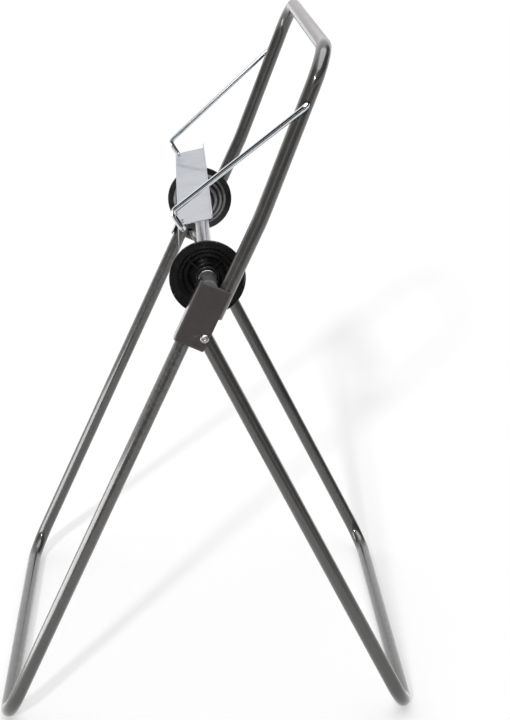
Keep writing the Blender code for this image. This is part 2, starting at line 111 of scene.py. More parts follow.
# ---------------------------------------------------------------- places, from the frame
def joint_place(name):
    """Where a hinge of the CAD model is, on the middle plane."""
    return Vector(next(joint["pos_m"] for joint in frame["joints"] if joint["name"] == name))


PIVOT = joint_place("rear_leg_fold")
AXLE = joint_place("axle_spin")
BAIL_PIVOT = joint_place("bail_swing")
FLAT = TUBE_RADIUS * math.cos(math.pi / CAD_TUBE_SIDES)      # the CAD tubes stand on a flat
LEG_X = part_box("pivot_spacer_right")[0].x - GAP - TUBE_RADIUS
FRONT_FOOT = Vector((0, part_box("front_leg_frame")[0].y + FLAT, FLAT))
REAR_FOOT = Vector((0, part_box("rear_leg_frame")[1].y - FLAT, FLAT))
FRONT_UP = (AXLE - FRONT_FOOT).normalized()
FRONT_BACK = Vector((0, FRONT_UP.z, -FRONT_UP.y))
REAR_UP = (PIVOT - REAR_FOOT).normalized()
UPPER_UP = Vector((0, math.sin(UPPER_LEAN), math.cos(UPPER_LEAN)))
RIVET_S = (PIVOT - FRONT_FOOT).dot(FRONT_UP)
AXLE_S = (AXLE - FRONT_FOOT).dot(FRONT_UP)
LEG_TOP_S = AXLE_S - BUSH_RADIUS - GAP
BRACKET_TOP_S = RIVET_S - BRACKET_BELOW_RIVET + BRACKET_LENGTH
TOP_BAR_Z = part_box("upper_frame")[1].z - TUBE_RADIUS
TOP_BAR = BAIL_PIVOT + UPPER_UP * ((TOP_BAR_Z - BAIL_PIVOT.z) / UPPER_UP.z)
UPPER_START = FRONT_FOOT + FRONT_UP * (RIVET_S + UPPER_ABOVE_RIVET) + FRONT_BACK * UPPER_LANE
KNEE_BACK = ((TOP_BAR - FRONT_FOOT).dot(FRONT_BACK) - UPPER_LANE) / UPPER_UP.dot(FRONT_BACK)
KNEE = TOP_BAR - UPPER_UP * KNEE_BACK
TUBE_OUTER_X = LEG_X + TUBE_RADIUS
WEB_INNER_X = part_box("bracket_right")[1].x - SHEET
WEB_OUTER_X = WEB_INNER_X + SHEET
RIVET_TAIL_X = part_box("rivet_washer_right")[0].x - GAP
BUSH_INNER_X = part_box("axle_bush_right")[0].x
BUSH_END_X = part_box("axle_bush_right")[1].x
CONE_BACK_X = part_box("cone_right")[1].x
PLATE_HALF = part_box("tear_plate")[1].x


# ---------------------------------------------------------------- mesh helpers
def bent_path(corners, radii, step=math.radians(5)):
    """Corner points with each inner corner turned into an arc of its radius."""
    path = [Vector(corners[0])]
    for before, corner, after, radius in zip(corners, corners[1:], corners[2:], radii):
        into = (Vector(corner) - Vector(before)).normalized()
        out = (Vector(after) - Vector(corner)).normalized()
        turn = into.angle(out)
        start = Vector(corner) - into * radius * math.tan(turn / 2)
        side = (out - into * into.dot(out)).normalized()
        pieces = max(3, round(turn / step))
        for number in range(pieces + 1):
            angle = turn * number / pieces
            path.append(start + into * radius * math.sin(angle) + side * radius * (1 - math.cos(angle)))
    path.append(Vector(corners[-1]))
    return path


def with_rings(path, place, reach):
    """The same path with closely spaced points within reach of a place, where a hole is cut."""
    result = [path[0]]
    for start, end in zip(path, path[1:]):
        length = (end - start).length
        middle = (place - start).dot(end - start) / length
        if (place - start - (end - start) * middle / length).length < 2 * TUBE_RADIUS:
            count = round(2 * reach / RING_SPACING)
            for number in range(count + 1):
                along = middle - reach + 2 * reach * number / count
                if 0 < along < length:
                    result.append(start + (end - start) * along / length)
        result.append(end)
    return result


def path_frames(path):
    """A place and two cross axes at every point of a path, carried along without twist."""
    tangents = []
    for number, point in enumerate(path):
        before = path[max(number - 1, 0)]
        after = path[min(number + 1, len(path) - 1)]
        into = (point - before).normalized() if number else (after - point).normalized()
        out = (after - point).normalized() if number < len(path) - 1 else into
        tangents.append((into + out).normalized())
    across = tangents[0].orthogonal().normalized()
    frames = []
    for number, tangent in enumerate(tangents):
        if number:
            across = tangents[number - 1].rotation_difference(tangent) @ across
        frames.append((path[number], across, tangent.cross(across)))
    return frames


def ring_points(centre, across, up, radius, sides):
    """A circle of points round a centre."""
    turns = (2 * math.pi * k / sides for k in range(sides))
    return [centre + (across * math.cos(a) + up * math.sin(a)) * radius for a in turns]


def skin(name, rings, closed_ends):
    """A mesh over rings of points: its ends are capped, or its last ring is joined to its first."""
    mesh = bpy.data.meshes.new(name)
    work = bmesh.new()
    rows = [[work.verts.new(point) for point in ring] for ring in rings]
    pairs = list(zip(rows, rows[1:]))
    if not closed_ends:
        pairs.append((rows[-1], rows[0]))
    for low, high in pairs:
        for number in range(len(low)):
            after = (number + 1) % len(low)
            work.faces.new((low[number], low[after], high[after], high[number]))
    if closed_ends:
        work.faces.new(rows[0])
        work.faces.new(rows[-1])
    bmesh.ops.recalc_face_normals(work, faces=work.faces)
    work.to_mesh(mesh)
    work.free()
    return new_object(name, mesh)


def new_object(name, mesh):
    """An object for a mesh, in the scene."""
    result = bpy.data.objects.new(name, mesh)
    bpy.context.scene.collection.objects.link(result)
    return result


def rod(name, path, radius, sides, chamfer):
    """A solid round bar along a path, with chamfered ends."""
    frames = path_frames(path)
    rings = []
    for centre, across, up in frames:
        rings.append(ring_points(centre, across, up, radius, sides))
    first, last = frames[0], frames[-1]
    out_first = (path[0] - path[1]).normalized()
    out_last = (path[-1] - path[-2]).normalized()
    head = ring_points(first[0] + out_first * chamfer, first[1], first[2], radius - chamfer, sides)
    tail = ring_points(last[0] + out_last * chamfer, last[1], last[2], radius - chamfer, sides)
    return skin(name, [head, *rings, tail], True)


def tube(name, path, radius, wall, sides):
    """A hollow tube along a path, with its end edges broken."""
    frames = path_frames(path)
    edge = wall / 4
    outside = [ring_points(*place, radius, sides) for place in frames]
    inside = [ring_points(*place, radius - wall, sides) for place in reversed(frames)]
    lips = []
    for (centre, across, up), out in ((frames[-1], (path[-1] - path[-2]).normalized()),
                                      (frames[0], (path[0] - path[1]).normalized())):
        lips.append(ring_points(centre + out * edge, across, up, radius - edge, sides))
        lips.append(ring_points(centre + out * edge, across, up, radius - wall + edge, sides))
    return skin(name, [*outside, lips[0], lips[1], *inside, lips[3], lips[2]], False)


def evaluated_copy(obj):
    """Swap an object's mesh for what its modifiers make of it."""
    bpy.context.view_layer.update()
    mesh = bpy.data.meshes.new_from_object(obj.evaluated_get(bpy.context.evaluated_depsgraph_get()))
    obj.modifiers.clear()
    obj.data = mesh


def cut(obj, cutters):
    """Take cutters out of an object, and remove them."""
    for cutter in cutters:
        modifier = obj.modifiers.new("cut", "BOOLEAN")
        modifier.operation = "DIFFERENCE"
        modifier.object = cutter
    evaluated_copy(obj)
    for cutter in cutters:
        bpy.data.objects.remove(cutter, do_unlink=True)


def drill(centre, axis, radius, length, sides=48):
    """A round cutter through a place along an axis."""
    mesh = bpy.data.meshes.new("drill")
    work = bmesh.new()
    bmesh.ops.create_cone(work, cap_ends=True, segments=sides, radius1=radius, radius2=radius,
                          depth=length)
    work.to_mesh(mesh)
    work.free()
    cutter = new_object("drill", mesh)
    cutter.matrix_world = Matrix.Translation(centre) @ axis.to_track_quat("Z", "Y").to_matrix().to_4x4()
    return cutter


def turned(name, profile, steps, location, direction):
    """A turned piece from a closed outline of (radius, height) points, its height along direction."""
    matrix = Matrix.Translation(location) @ direction.to_track_quat("Z", "Y").to_matrix().to_4x4()
    on_axis = profile[0][0] == 0
    points = profile[1:-1] if on_axis else profile
    rings = []
    for radius, height in points:
        turns = (2 * math.pi * k / steps for k in range(steps))
        rings.append([matrix @ Vector((radius * math.cos(a), radius * math.sin(a), height)) for a in turns])
    return skin(name, rings, on_axis)


def rounded_outline(points, radius, closed=True, step=math.radians(18)):
    """A flat outline with its corners rounded, each by no more than its shorter side allows."""
    flat = [Vector((*point, 0)) for point in points]
    result = []
    count = len(flat)
    for number, corner in enumerate(flat):
        if not closed and number in (0, count - 1):
            result.append(corner)
            continue
        before, after = flat[number - 1], flat[(number + 1) % count]
        into, out = corner - before, after - corner
        turn = into.angle(out, 0)
        if turn < math.radians(8):
            result.append(corner)
            continue
        room = 0.45 * min(into.length, out.length)
        reach = min(radius * math.tan(turn / 2), room)
        bend = reach / math.tan(turn / 2)
        into.normalize()
        out.normalize()
        side = (out - into * into.dot(out)).normalized()
        start = corner - into * reach
        pieces = max(2, round(turn / step))
        for piece in range(pieces + 1):
            angle = turn * piece / pieces
            result.append(start + into * bend * math.sin(angle) + side * bend * (1 - math.cos(angle)))
    return [(point.x, point.y) for point in result]


def finish_mesh(obj, angle=35):
    """Smooth shading, with edges sharper than an angle left sharp."""
    obj.data.shade_smooth()
    obj.data.set_sharp_from_angle(angle=math.radians(angle))
    return obj


def soften(obj, width, segments=3, angle=40):
    """Round the sharp edges of an object."""
    bevel = obj.modifiers.new("edges", "BEVEL")
    bevel.width = width
    bevel.segments = segments
    bevel.limit_method = "ANGLE"
    bevel.angle_limit = math.radians(angle)
    bevel.harden_normals = False
    evaluated_copy(obj)
    return obj


def placed(obj, body, slot, surface, *nodes):
    """Give a piece its material and body, and hide the CAD nodes that it stands for; its slot is not used.
    """
    obj.data.materials.clear()
    obj.data.materials.append(surface)
    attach(obj, body)
    if nodes:
        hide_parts(*nodes)
    return obj


# ---------------------------------------------------------------- materials
def new_surface(name, colour, metallic, roughness, **sockets):
    """A Principled material, and the object's own coordinates to hang its patterns on."""
    result = bpy.data.materials.new(name)
    result.use_nodes = True
    tree = result.node_tree
    shader = tree.nodes["Principled BSDF"]
    shader.inputs["Base Color"].default_value = (*colour, 1)
    shader.inputs["Metallic"].default_value = metallic
    shader.inputs["Roughness"].default_value = roughness
    for socket, value in sockets.items():
        shader.inputs[socket.replace("_", " ").title().replace("Ior", "IOR")].default_value = value
    result.diffuse_color = (*colour, 1)
    place = tree.nodes.new("ShaderNodeTexCoord").outputs["Object"]
    return result, tree, shader, place


def stretched(tree, place, scale):
    """Coordinates scaled by a vector."""
    mapping = tree.nodes.new("ShaderNodeMapping")
    mapping.inputs["Scale"].default_value = scale
    tree.links.new(place, mapping.inputs["Vector"])
    return mapping.outputs["Vector"]


def noise(tree, place, scale, detail=2.0, roughness=0.5):
    """Smooth noise with so many bumps a metre."""
    texture = tree.nodes.new("ShaderNodeTexNoise")
    texture.inputs["Scale"].default_value = scale
    texture.inputs["Detail"].default_value = detail
    texture.inputs["Roughness"].default_value = roughness
    tree.links.new(place, texture.inputs["Vector"])
    return texture.outputs["Fac"]


def ramp(tree, value, low, high, low_value, high_value):
    """value, taken from low..high to low_value..high_value, and held at its ends."""
    remap = tree.nodes.new("ShaderNodeMapRange")
    remap.interpolation_type = "SMOOTHSTEP"
    limits = {"From Min": low, "From Max": high, "To Min": low_value, "To Max": high_value}
    for socket, number in limits.items():
        remap.inputs[socket].default_value = number
    tree.links.new(value, remap.inputs["Value"])
    return remap.outputs["Result"]


def maths(tree, operation, first, second):
    """One operation on two values, either of which may be a number."""
    result = tree.nodes.new("ShaderNodeMath")
    result.operation = operation
    for socket, value in zip(result.inputs, (first, second)):
        if isinstance(value, (int, float)):
            socket.default_value = value
        else:
            tree.links.new(value, socket)
    return result.outputs[0]


def blend_colours(tree, factor, first, second):
    """A colour between two, either of which may be an output."""
    mix = tree.nodes.new("ShaderNodeMix")
    mix.data_type = "RGBA"
    for socket, value in {"Factor": factor, "A": first, "B": second}.items():
        if isinstance(value, tuple):
            mix.inputs[socket].default_value = (*value, 1)
        else:
            tree.links.new(value, mix.inputs[socket])
    return mix.outputs["Result"]


def add_bump(tree, shader, height, distance):
    """Bump the shader by a height in so many metres, on top of any bump it has."""
    bump = tree.nodes.new("ShaderNodeBump")
    bump.inputs["Distance"].default_value = distance
    bump.inputs["Strength"].default_value = 1.0
    tree.links.new(height, bump.inputs["Height"])
    normal = shader.inputs["Normal"]
    if normal.is_linked:
        tree.links.new(normal.links[0].from_socket, bump.inputs["Normal"])
    tree.links.new(bump.outputs["Normal"], normal)


def edge_wear(tree):
    """1 on outer edges and 0 on flats, from how the mesh bends."""
    return ramp(tree, tree.nodes.new("ShaderNodeNewGeometry").outputs["Pointiness"], 0.52, 0.62, 0.0, 1.0)


def paint(name, dark, light, worn, gloss):
    """Dark metallic stove paint: fine flake, a slightly wavy glossy skin, and worn edges."""
    result, tree, shader, place = new_surface(name, dark, 0.1, 0.36, specular_ior_level=0.3,
                                              coat_weight=1.0, coat_roughness=gloss, coat_ior=1.6)
    flake = ramp(tree, noise(tree, place, 2300, 1), 0.40, 0.66, 0.0, 1.0)
    cloud = noise(tree, place, 26, 3)
    tone = blend_colours(tree, flake, dark, light)
    tone = blend_colours(tree, ramp(tree, cloud, 0.35, 0.7, 0.0, 0.28), tone, light)
    patches = ramp(tree, noise(tree, place, 160, 3), 0.42, 0.62, 0.0, 0.7)
    wear_and_sheen = maths(tree, "MULTIPLY", edge_wear(tree), patches)
    tone = blend_colours(tree, wear_and_sheen, tone, worn)
    tree.links.new(tone, shader.inputs["Base Color"])
    roughness = ramp(tree, noise(tree, place, 90, 4, 0.6), 0.3, 0.7, 0.29, 0.42)
    tree.links.new(roughness, shader.inputs["Roughness"])
    add_bump(tree, shader, noise(tree, place, 260, 2), 0.000022)
    add_bump(tree, shader, noise(tree, place, 2300, 1), 0.000006)
    return result


def drawn_metal(name, colour, tint, roughness, scale, depth):
    """Bright drawn metal, with fine lines along the axis that scale leaves long."""
    result, tree, shader, place = new_surface(name, colour, 1.0, roughness)
    lines = noise(tree, stretched(tree, place, scale), 1.0, 4, 0.6)
    smudge = noise(tree, place, 30, 3)
    tone = blend_colours(tree, ramp(tree, lines, 0.35, 0.7, 0.0, 0.5), colour, tint)
    tree.links.new(blend_colours(tree, ramp(tree, smudge, 0.45, 0.75, 0.0, 0.4), tone, tint),
                   shader.inputs["Base Color"])
    rough = maths(tree, "ADD", ramp(tree, lines, 0.3, 0.7, roughness * 0.8, roughness * 1.2),
                  ramp(tree, smudge, 0.4, 0.75, 0.0, 0.09))
    tree.links.new(rough, shader.inputs["Roughness"])
    add_bump(tree, shader, lines, depth)
    return result


WAVE_RADIANS = 20                 # what the wave texture makes of one unit of its coordinates
# A dark line painted across the tear plate, a painted reflection of the bail's rod: its place, slant and
# colour.
PAINTED_REFLECTION_PLACE = -0.088                # where the painted line crosses the tear plate, and how far it slants
PAINTED_REFLECTION_SLANT = -2.2
PAINTED_REFLECTION_COLOUR = (0.20, 0.215, 0.26)


def zinc_sheet(name, colour, tint, dull):
    """Zinc-coated sheet: pale blue-grey, with faint crystals, rolling lines, handling marks and a painted
    reflection of the rod, a dark slanting line.
    """
    result, tree, shader, place = new_surface(name, colour, 0.85, 0.40)
    cells = tree.nodes.new("ShaderNodeTexVoronoi")
    cells.inputs["Scale"].default_value = 210
    tree.links.new(place, cells.inputs["Vector"])
    split = tree.nodes.new("ShaderNodeSeparateColor")
    tree.links.new(cells.outputs["Color"], split.inputs["Color"])
    crystal = split.outputs["Red"]
    rolled = noise(tree, stretched(tree, place, (7, 620, 620)), 1.0, 3)
    smudge = noise(tree, place, 17, 4, 0.6)
    tone = blend_colours(tree, ramp(tree, crystal, 0.0, 1.0, 0.0, 0.16), colour, tint)
    tone = blend_colours(tree, ramp(tree, smudge, 0.45, 0.7, 0.0, 0.45), tone, dull)
    # Painted reflection: a dark slanting line across the plate, standing in for the rod's reflection in it.
    spot = tree.nodes.new("ShaderNodeSeparateXYZ")
    tree.links.new(place, spot.inputs["Vector"])
    slanted = maths(tree, "ADD", spot.outputs["X"], maths(tree, "MULTIPLY", spot.outputs["Y"], PAINTED_REFLECTION_SLANT))
    along = maths(tree, "ABSOLUTE", maths(tree, "SUBTRACT", slanted, PAINTED_REFLECTION_PLACE), 0.0)
    painted_reflection = maths(tree, "MULTIPLY", ramp(tree, along, 0.004, 0.019, 1.0, 0.0),
                ramp(tree, noise(tree, stretched(tree, place, (160, 30, 30)), 1.0, 3), 0.3, 0.6, 0.2, 1.0))
    tone = blend_colours(tree, maths(tree, "MULTIPLY", painted_reflection, 0.6), tone, PAINTED_REFLECTION_COLOUR)
    tree.links.new(tone, shader.inputs["Base Color"])
    rough = maths(tree, "ADD", ramp(tree, crystal, 0.0, 1.0, 0.31, 0.34),
                  ramp(tree, smudge, 0.4, 0.7, 0.0, 0.12))
    tree.links.new(rough, shader.inputs["Roughness"])
    add_bump(tree, shader, rolled, 0.00001)
    add_bump(tree, shader, noise(tree, place, 60, 2), 0.00012)
    return result


def moulded(name, colour, pale, roughness, ring_pitch=0.0, grain=1500, wear_and_sheen=None):
    """Moulded plastic or rubber: a fine grain, faint rings round local Z at a pitch, and dusty edges.

    Its last argument is a light grey painted in patches on sloping walls, local +Z up: a painted sheen that
    stands in for the light those walls reflect.
    """
    result, tree, shader, place = new_surface(name, colour, 0.0, roughness)
    dust = noise(tree, place, 45, 4, 0.6)
    tone = blend_colours(tree, ramp(tree, dust, 0.5, 0.8, 0.0, 0.35), colour, pale)
    tone = blend_colours(tree, maths(tree, "MULTIPLY", edge_wear(tree), 0.5), tone, pale)
    # Painted sheen: the sloping walls are lightened in patches, in place of the light they reflect.
    if wear_and_sheen:
        facing = tree.nodes.new("ShaderNodeSeparateXYZ")
        tree.links.new(tree.nodes.new("ShaderNodeTexCoord").outputs["Normal"], facing.inputs["Vector"])
        steep = ramp(tree, facing.outputs["Z"], 0.20, 0.35, 0.0, 1.0)
        slope = maths(tree, "MULTIPLY", steep, ramp(tree, facing.outputs["Z"], 0.55, 0.90, 1.0, 0.0))
        patches = ramp(tree, noise(tree, place, 120, 4, 0.6), 0.25, 0.6, 0.55, 1.0)
        tone = blend_colours(tree, maths(tree, "MULTIPLY", slope, patches), tone, wear_and_sheen)
    tree.links.new(tone, shader.inputs["Base Color"])
    tree.links.new(ramp(tree, noise(tree, place, 70, 3), 0.3, 0.7, roughness * 0.85, roughness * 1.2),
                   shader.inputs["Roughness"])
    add_bump(tree, shader, noise(tree, place, grain, 2), 0.00002)
    if ring_pitch:
        rings = tree.nodes.new("ShaderNodeTexWave")
        rings.wave_type = "RINGS"
        rings.rings_direction = "Z"
        rings.inputs["Scale"].default_value = math.tau / WAVE_RADIANS / ring_pitch
        rings.inputs["Distortion"].default_value = 0.3
        tree.links.new(place, rings.inputs["Vector"])
        add_bump(tree, shader, rings.outputs["Fac"], 0.000012)
    return result


TUBE_PAINT = paint("tube_paint", (0.027, 0.026, 0.024), (0.056, 0.053, 0.050), (0.20, 0.19, 0.18), 0.11)
SHEET_PAINT = paint("sheet_paint", (0.037, 0.031, 0.030), (0.062, 0.055, 0.053), (0.22, 0.21, 0.20), 0.09)
AXLE_STEEL = drawn_metal("axle_steel", (0.42, 0.42, 0.435), (0.28, 0.28, 0.295),
                         0.20, (5, 1500, 1500), 0.00001)
BAIL_STEEL = drawn_metal("bail_steel", (0.66, 0.69, 0.71), (0.55, 0.59, 0.62),
                         0.065, (260, 260, 260), 0.000003)
RIVET_STEEL = drawn_metal("rivet_steel", (0.46, 0.45, 0.44), (0.34, 0.33, 0.32),
                          0.34, (700, 700, 700), 0.00002)
# Dark steel for the clip studs: painted shade, standing for the shade in the plate's holes under them.
PAINTED_SHADE_STEEL = drawn_metal("painted_shade_steel", (0.07, 0.07, 0.072), (0.12, 0.12, 0.12),
                         0.30, (700, 700, 700), 0.00001)
ZINC = zinc_sheet("zinc_sheet", (0.425, 0.44, 0.48), (0.47, 0.48, 0.51), (0.38, 0.39, 0.425))
# The light grey given for the cones' sloping walls is a painted sheen.
BLACK_PLASTIC = moulded("black_plastic", (0.0055, 0.0050, 0.0048), (0.020, 0.018, 0.017), 0.24,
                        ring_pitch=0.005655, wear_and_sheen=(0.22, 0.215, 0.215))
GREY_PLASTIC = moulded("grey_plastic", (0.115, 0.115, 0.118), (0.20, 0.20, 0.205), 0.30, grain=900)
RUBBER = moulded("rubber_ring", (0.010, 0.010, 0.010), (0.03, 0.03, 0.03), 0.8, grain=2400)
NYLON = moulded("nylon", (0.70, 0.69, 0.66), (0.80, 0.79, 0.76), 0.5, grain=1200)


# ---------------------------------------------------------------- the three tube frames
def block(centre, size, turn):
    """A box cutter, turned about X."""
    mesh = bpy.data.meshes.new("block")
    work = bmesh.new()
    bmesh.ops.create_cube(work, size=1)
    bmesh.ops.scale(work, vec=size, verts=work.verts)
    work.to_mesh(mesh)
    work.free()
    cutter = new_object("block", mesh)
    cutter.matrix_world = Matrix.Translation(centre) @ Matrix.Rotation(turn, 4, "X")
    return cutter


def leg_path(foot, up, top_s):
    """Down one leg, round two bends and along the floor bar, and up the other leg."""
    across = Vector((LEG_X, 0, 0))
    corners = [foot - across + up * top_s, foot - across, foot + across, foot + across + up * top_s]
    return bent_path(corners, (FOOT_BEND, FOOT_BEND))


def make_front_legs():
    """The front legs and their floor bar are one bent tube, with open tops."""
    path = leg_path(FRONT_FOOT, FRONT_UP, LEG_TOP_S)
    legs = tube("front_leg_tube", path, TUBE_RADIUS, TUBE_WALL, TUBE_SIDES)
    placed(finish_mesh(legs), "stand_frame", "painted_tube", TUBE_PAINT, "front_leg_frame")


def make_rear_legs():
    """The rear legs have a rivet hole near their tops, and slanted ends that meet the front legs."""
    path = leg_path(REAR_FOOT, REAR_UP, (PIVOT - REAR_FOOT).length + PAST_RIVET)
    ring_reach = 0.0085
    cutter_width = 0.03
    cutter_depth = 0.02
    cutters = []
    lean = math.atan2(FRONT_UP.y, FRONT_UP.z)
    for _, sign in SIDES:
        pivot = PIVOT + Vector((sign * LEG_X, 0, 0))
        path = with_rings(path, pivot, ring_reach)
        place = pivot - FRONT_BACK * (STOP_DISTANCE + cutter_depth / 2)
        cutters.append(block(place, (cutter_width, cutter_depth, 2 * cutter_width), -lean))
        cutters.append(drill(pivot, Vector((1, 0, 0)), RIVET_RADIUS + GAP, cutter_width))
    legs = tube("rear_leg_tube", path, TUBE_RADIUS, TUBE_WALL, TUBE_SIDES)
    cut(legs, cutters)
    placed(finish_mesh(legs), "rear_legs", "painted_tube", TUBE_PAINT, "rear_leg_frame")


def make_upper_frame():
    """An upside-down U with a slight bend in each side and a hole for the bail in each outer wall."""
    across = Vector((LEG_X, 0, 0))
    corners = [UPPER_START - across, KNEE - across, TOP_BAR - across,
               TOP_BAR + across, KNEE + across, UPPER_START + across]
    path = bent_path(corners, (KNEE_BEND, TOP_BEND, TOP_BEND, KNEE_BEND))
    ring_reach = 0.0075
    cutters = []
    for _, sign in SIDES:
        path = with_rings(path, BAIL_PIVOT + Vector((sign * LEG_X, 0, 0)), ring_reach)
        wall = BAIL_PIVOT + Vector((sign * TUBE_OUTER_X, 0, 0))
        cutters.append(drill(wall, Vector((1, 0, 0)), BAIL_HOLE_RADIUS, TUBE_RADIUS))
    upper = tube("upper_tube", path, TUBE_RADIUS, TUBE_WALL, TUBE_SIDES)
    cut(upper, cutters)
    placed(finish_mesh(upper), "stand_frame", "painted_tube", TUBE_PAINT, "upper_frame")


# ---------------------------------------------------------------- brackets, welds and rivets
def strip_mesh(name, columns):
    """An open sheet from columns of points, each a list from one edge to the other."""
    mesh = bpy.data.meshes.new(name)
    work = bmesh.new()
    rows = [[work.verts.new(point) for point in column] for column in columns]
    for low, high in zip(rows, rows[1:]):
        for number in range(len(low) - 1):
            work.faces.new((low[number], high[number], high[number + 1], low[number + 1]))
    work.to_mesh(mesh)
    work.free()
    return new_object(name, mesh)


def thicken(obj, thickness, offset):
    """Give an open sheet its thickness."""
    modifier = obj.modifiers.new("thickness", "SOLIDIFY")
    modifier.thickness = thickness
    modifier.offset = offset
    modifier.use_even_offset = True
    evaluated_copy(obj)
    return obj


def recalculated(obj):
    """Turn all faces of a closed mesh outward."""
    work = bmesh.new()
    work.from_mesh(obj.data)
    bmesh.ops.recalc_face_normals(work, faces=work.faces)
    work.to_mesh(obj.data)
    work.free()
    return obj


def make_bracket(side, sign):
    """A web outside the tubes and a front flange, bent from one sheet with rounded corners."""
    corner = 0.0025
    bend_steps = 8
    ease = [corner * (1 - math.cos(math.pi / 2 * k / 6)) for k in range(7)]
    flange_x = WEB_INNER_X - FLANGE_DEPTH
    profile = [(-BRACKET_FRONT, flange_x + d, d) for d in ease]
    for step in range(bend_steps + 1):
        angle = math.pi / 2 * step / bend_steps
        profile.append((-BRACKET_FRONT + FLANGE_BEND * (1 - math.cos(angle)),
                        WEB_INNER_X - FLANGE_BEND + FLANGE_BEND * math.sin(angle), corner))
    profile += [(BRACKET_REAR - d, WEB_INNER_X, d) for d in reversed(ease)]
    middle = FRONT_FOOT + FRONT_UP * (BRACKET_TOP_S - BRACKET_LENGTH / 2)
    columns = []
    for back, out, inset in profile:
        half = BRACKET_LENGTH / 2 - (corner - math.sqrt(max(0, corner**2 - (corner - inset) ** 2)))
        heights = [half * (k / 6 - 1) for k in range(13)]
        column = middle + FRONT_BACK * back + Vector((sign * out, 0, 0))
        columns.append([column + FRONT_UP * h for h in heights])
    sheet = thicken(strip_mesh(f"bracket_sheet_{side}", columns), SHEET, sign)
    soften(recalculated(sheet), 0.0003)
    hole = PIVOT + Vector((sign * WEB_OUTER_X, 0, 0))
    cut(sheet, [drill(hole, Vector((1, 0, 0)), RIVET_RADIUS + GAP, 4 * SHEET)])
    placed(finish_mesh(sheet), "stand_frame", "painted_sheet", SHEET_PAINT, f"bracket_{side}")


def make_welds(side, sign):
    """Beads that hold the front leg and the upper frame in the bracket, at its two ends."""
    bead = 0.0012
    rise = 0.0007                 # the bead's middle line above the tube
    waver = 0.0002
    recess = 0.003
    bottom_s = RIVET_S - BRACKET_BELOW_RIVET + recess
    top_s = BRACKET_TOP_S - recess
    for name, axis_place, start, end in (
        ("front_leg_weld", FRONT_FOOT + FRONT_UP * bottom_s, 5, 85),
        ("upper_frame_weld", FRONT_FOOT + FRONT_UP * top_s + FRONT_BACK * UPPER_LANE, 60, 120),
    ):
        centre = axis_place + Vector((sign * LEG_X, 0, 0))
        steps = 40
        rings = []
        for number in range(steps + 1):
            share = number / steps
            angle = math.radians(start + (end - start) * share)
            out = Vector((sign * math.sin(angle), 0, 0)) - FRONT_BACK * math.cos(angle)
            along = Vector((sign * math.cos(angle), 0, 0)) + FRONT_BACK * math.sin(angle)
            ripple = 1 + 0.16 * math.sin(number * 1.7) + 0.05 * math.sin(number * 4.1 + sign)
            taper = math.sqrt(max(0.02, 1 - (2 * share - 1) ** 6))
            place = centre + out * (TUBE_RADIUS + rise) + along * waver * math.sin(number * 1.7)
            rings.append(ring_points(place, out, FRONT_UP, bead * ripple * taper, 16))
        weld = finish_mesh(skin(f"{name}_{side}", rings, True), angle=60)
        placed(weld, "stand_frame", "painted_tube", TUBE_PAINT)


def make_rivet(side, sign):
    """A pan-headed rivet with a small dimple, through the web and the rear leg to its formed tail."""
    head_radius = 0.0057
    head_height = 0.0021
    dimple = 0.0019
    dimple_depth = 0.0006
    tail_height = 0.0016
    tail_radius = 0.0048
    length = WEB_OUTER_X + GAP - RIVET_TAIL_X
    outline = [(0, head_height - dimple_depth), (dimple * 0.6, head_height - dimple_depth * 5 / 6),
               (dimple, head_height)]
    brim = head_height * 0.1
    outline += [(dimple + (head_radius - dimple) * math.sin(a), brim + (head_height - brim) * math.cos(a))
                for a in (math.pi / 2 * k / 10 for k in range(1, 11))]
    outline += [(head_radius, 0), (RIVET_RADIUS, 0), (RIVET_RADIUS, -length), (tail_radius, -length),
                (tail_radius, -length - tail_height * 0.5), (tail_radius * 0.8, -length - tail_height),
                (dimple, -length - tail_height), (0, -length - tail_height * 0.6)]
    location = PIVOT + Vector((sign * (WEB_OUTER_X + GAP), 0, 0))
    rivet = turned(f"rivet_{side}", outline, 48, location, Vector((sign, 0, 0)))
    placed(finish_mesh(rivet), "stand_frame", "bright_steel", RIVET_STEEL, f"pivot_rivet_{side}")


def make_ring(name, x_inner, sign, body, slot, surface, node):
    """A washer or a spacer round the rivet, with its edges broken."""
    inner = RIVET_RADIUS + GAP
    corners = [(WASHER_RADIUS, WASHER), (inner, WASHER), (inner, 0), (WASHER_RADIUS, 0)]
    outline = rounded_outline(corners, 0.0002)
    washer = turned(name, outline, 64, PIVOT + Vector((sign * x_inner, 0, 0)), Vector((sign, 0, 0)))
    placed(finish_mesh(washer), body, slot, surface, node)


# ---------------------------------------------------------------- axle, bushes and cones
def make_axle():
    """A plain tube, a little shorter than the room between the bushes' caps."""
    half = BUSH_END_X - BUSH_CAP - GAP - AXLE_WALL
    path = [AXLE + Vector((half * (k / 12 - 1), 0, 0)) for k in range(25)]
    axle = tube("axle", path, AXLE_RADIUS, AXLE_WALL, sides=72)
    placed(finish_mesh(axle), "axle", "chromed_tube", AXLE_STEEL, "axle_tube")


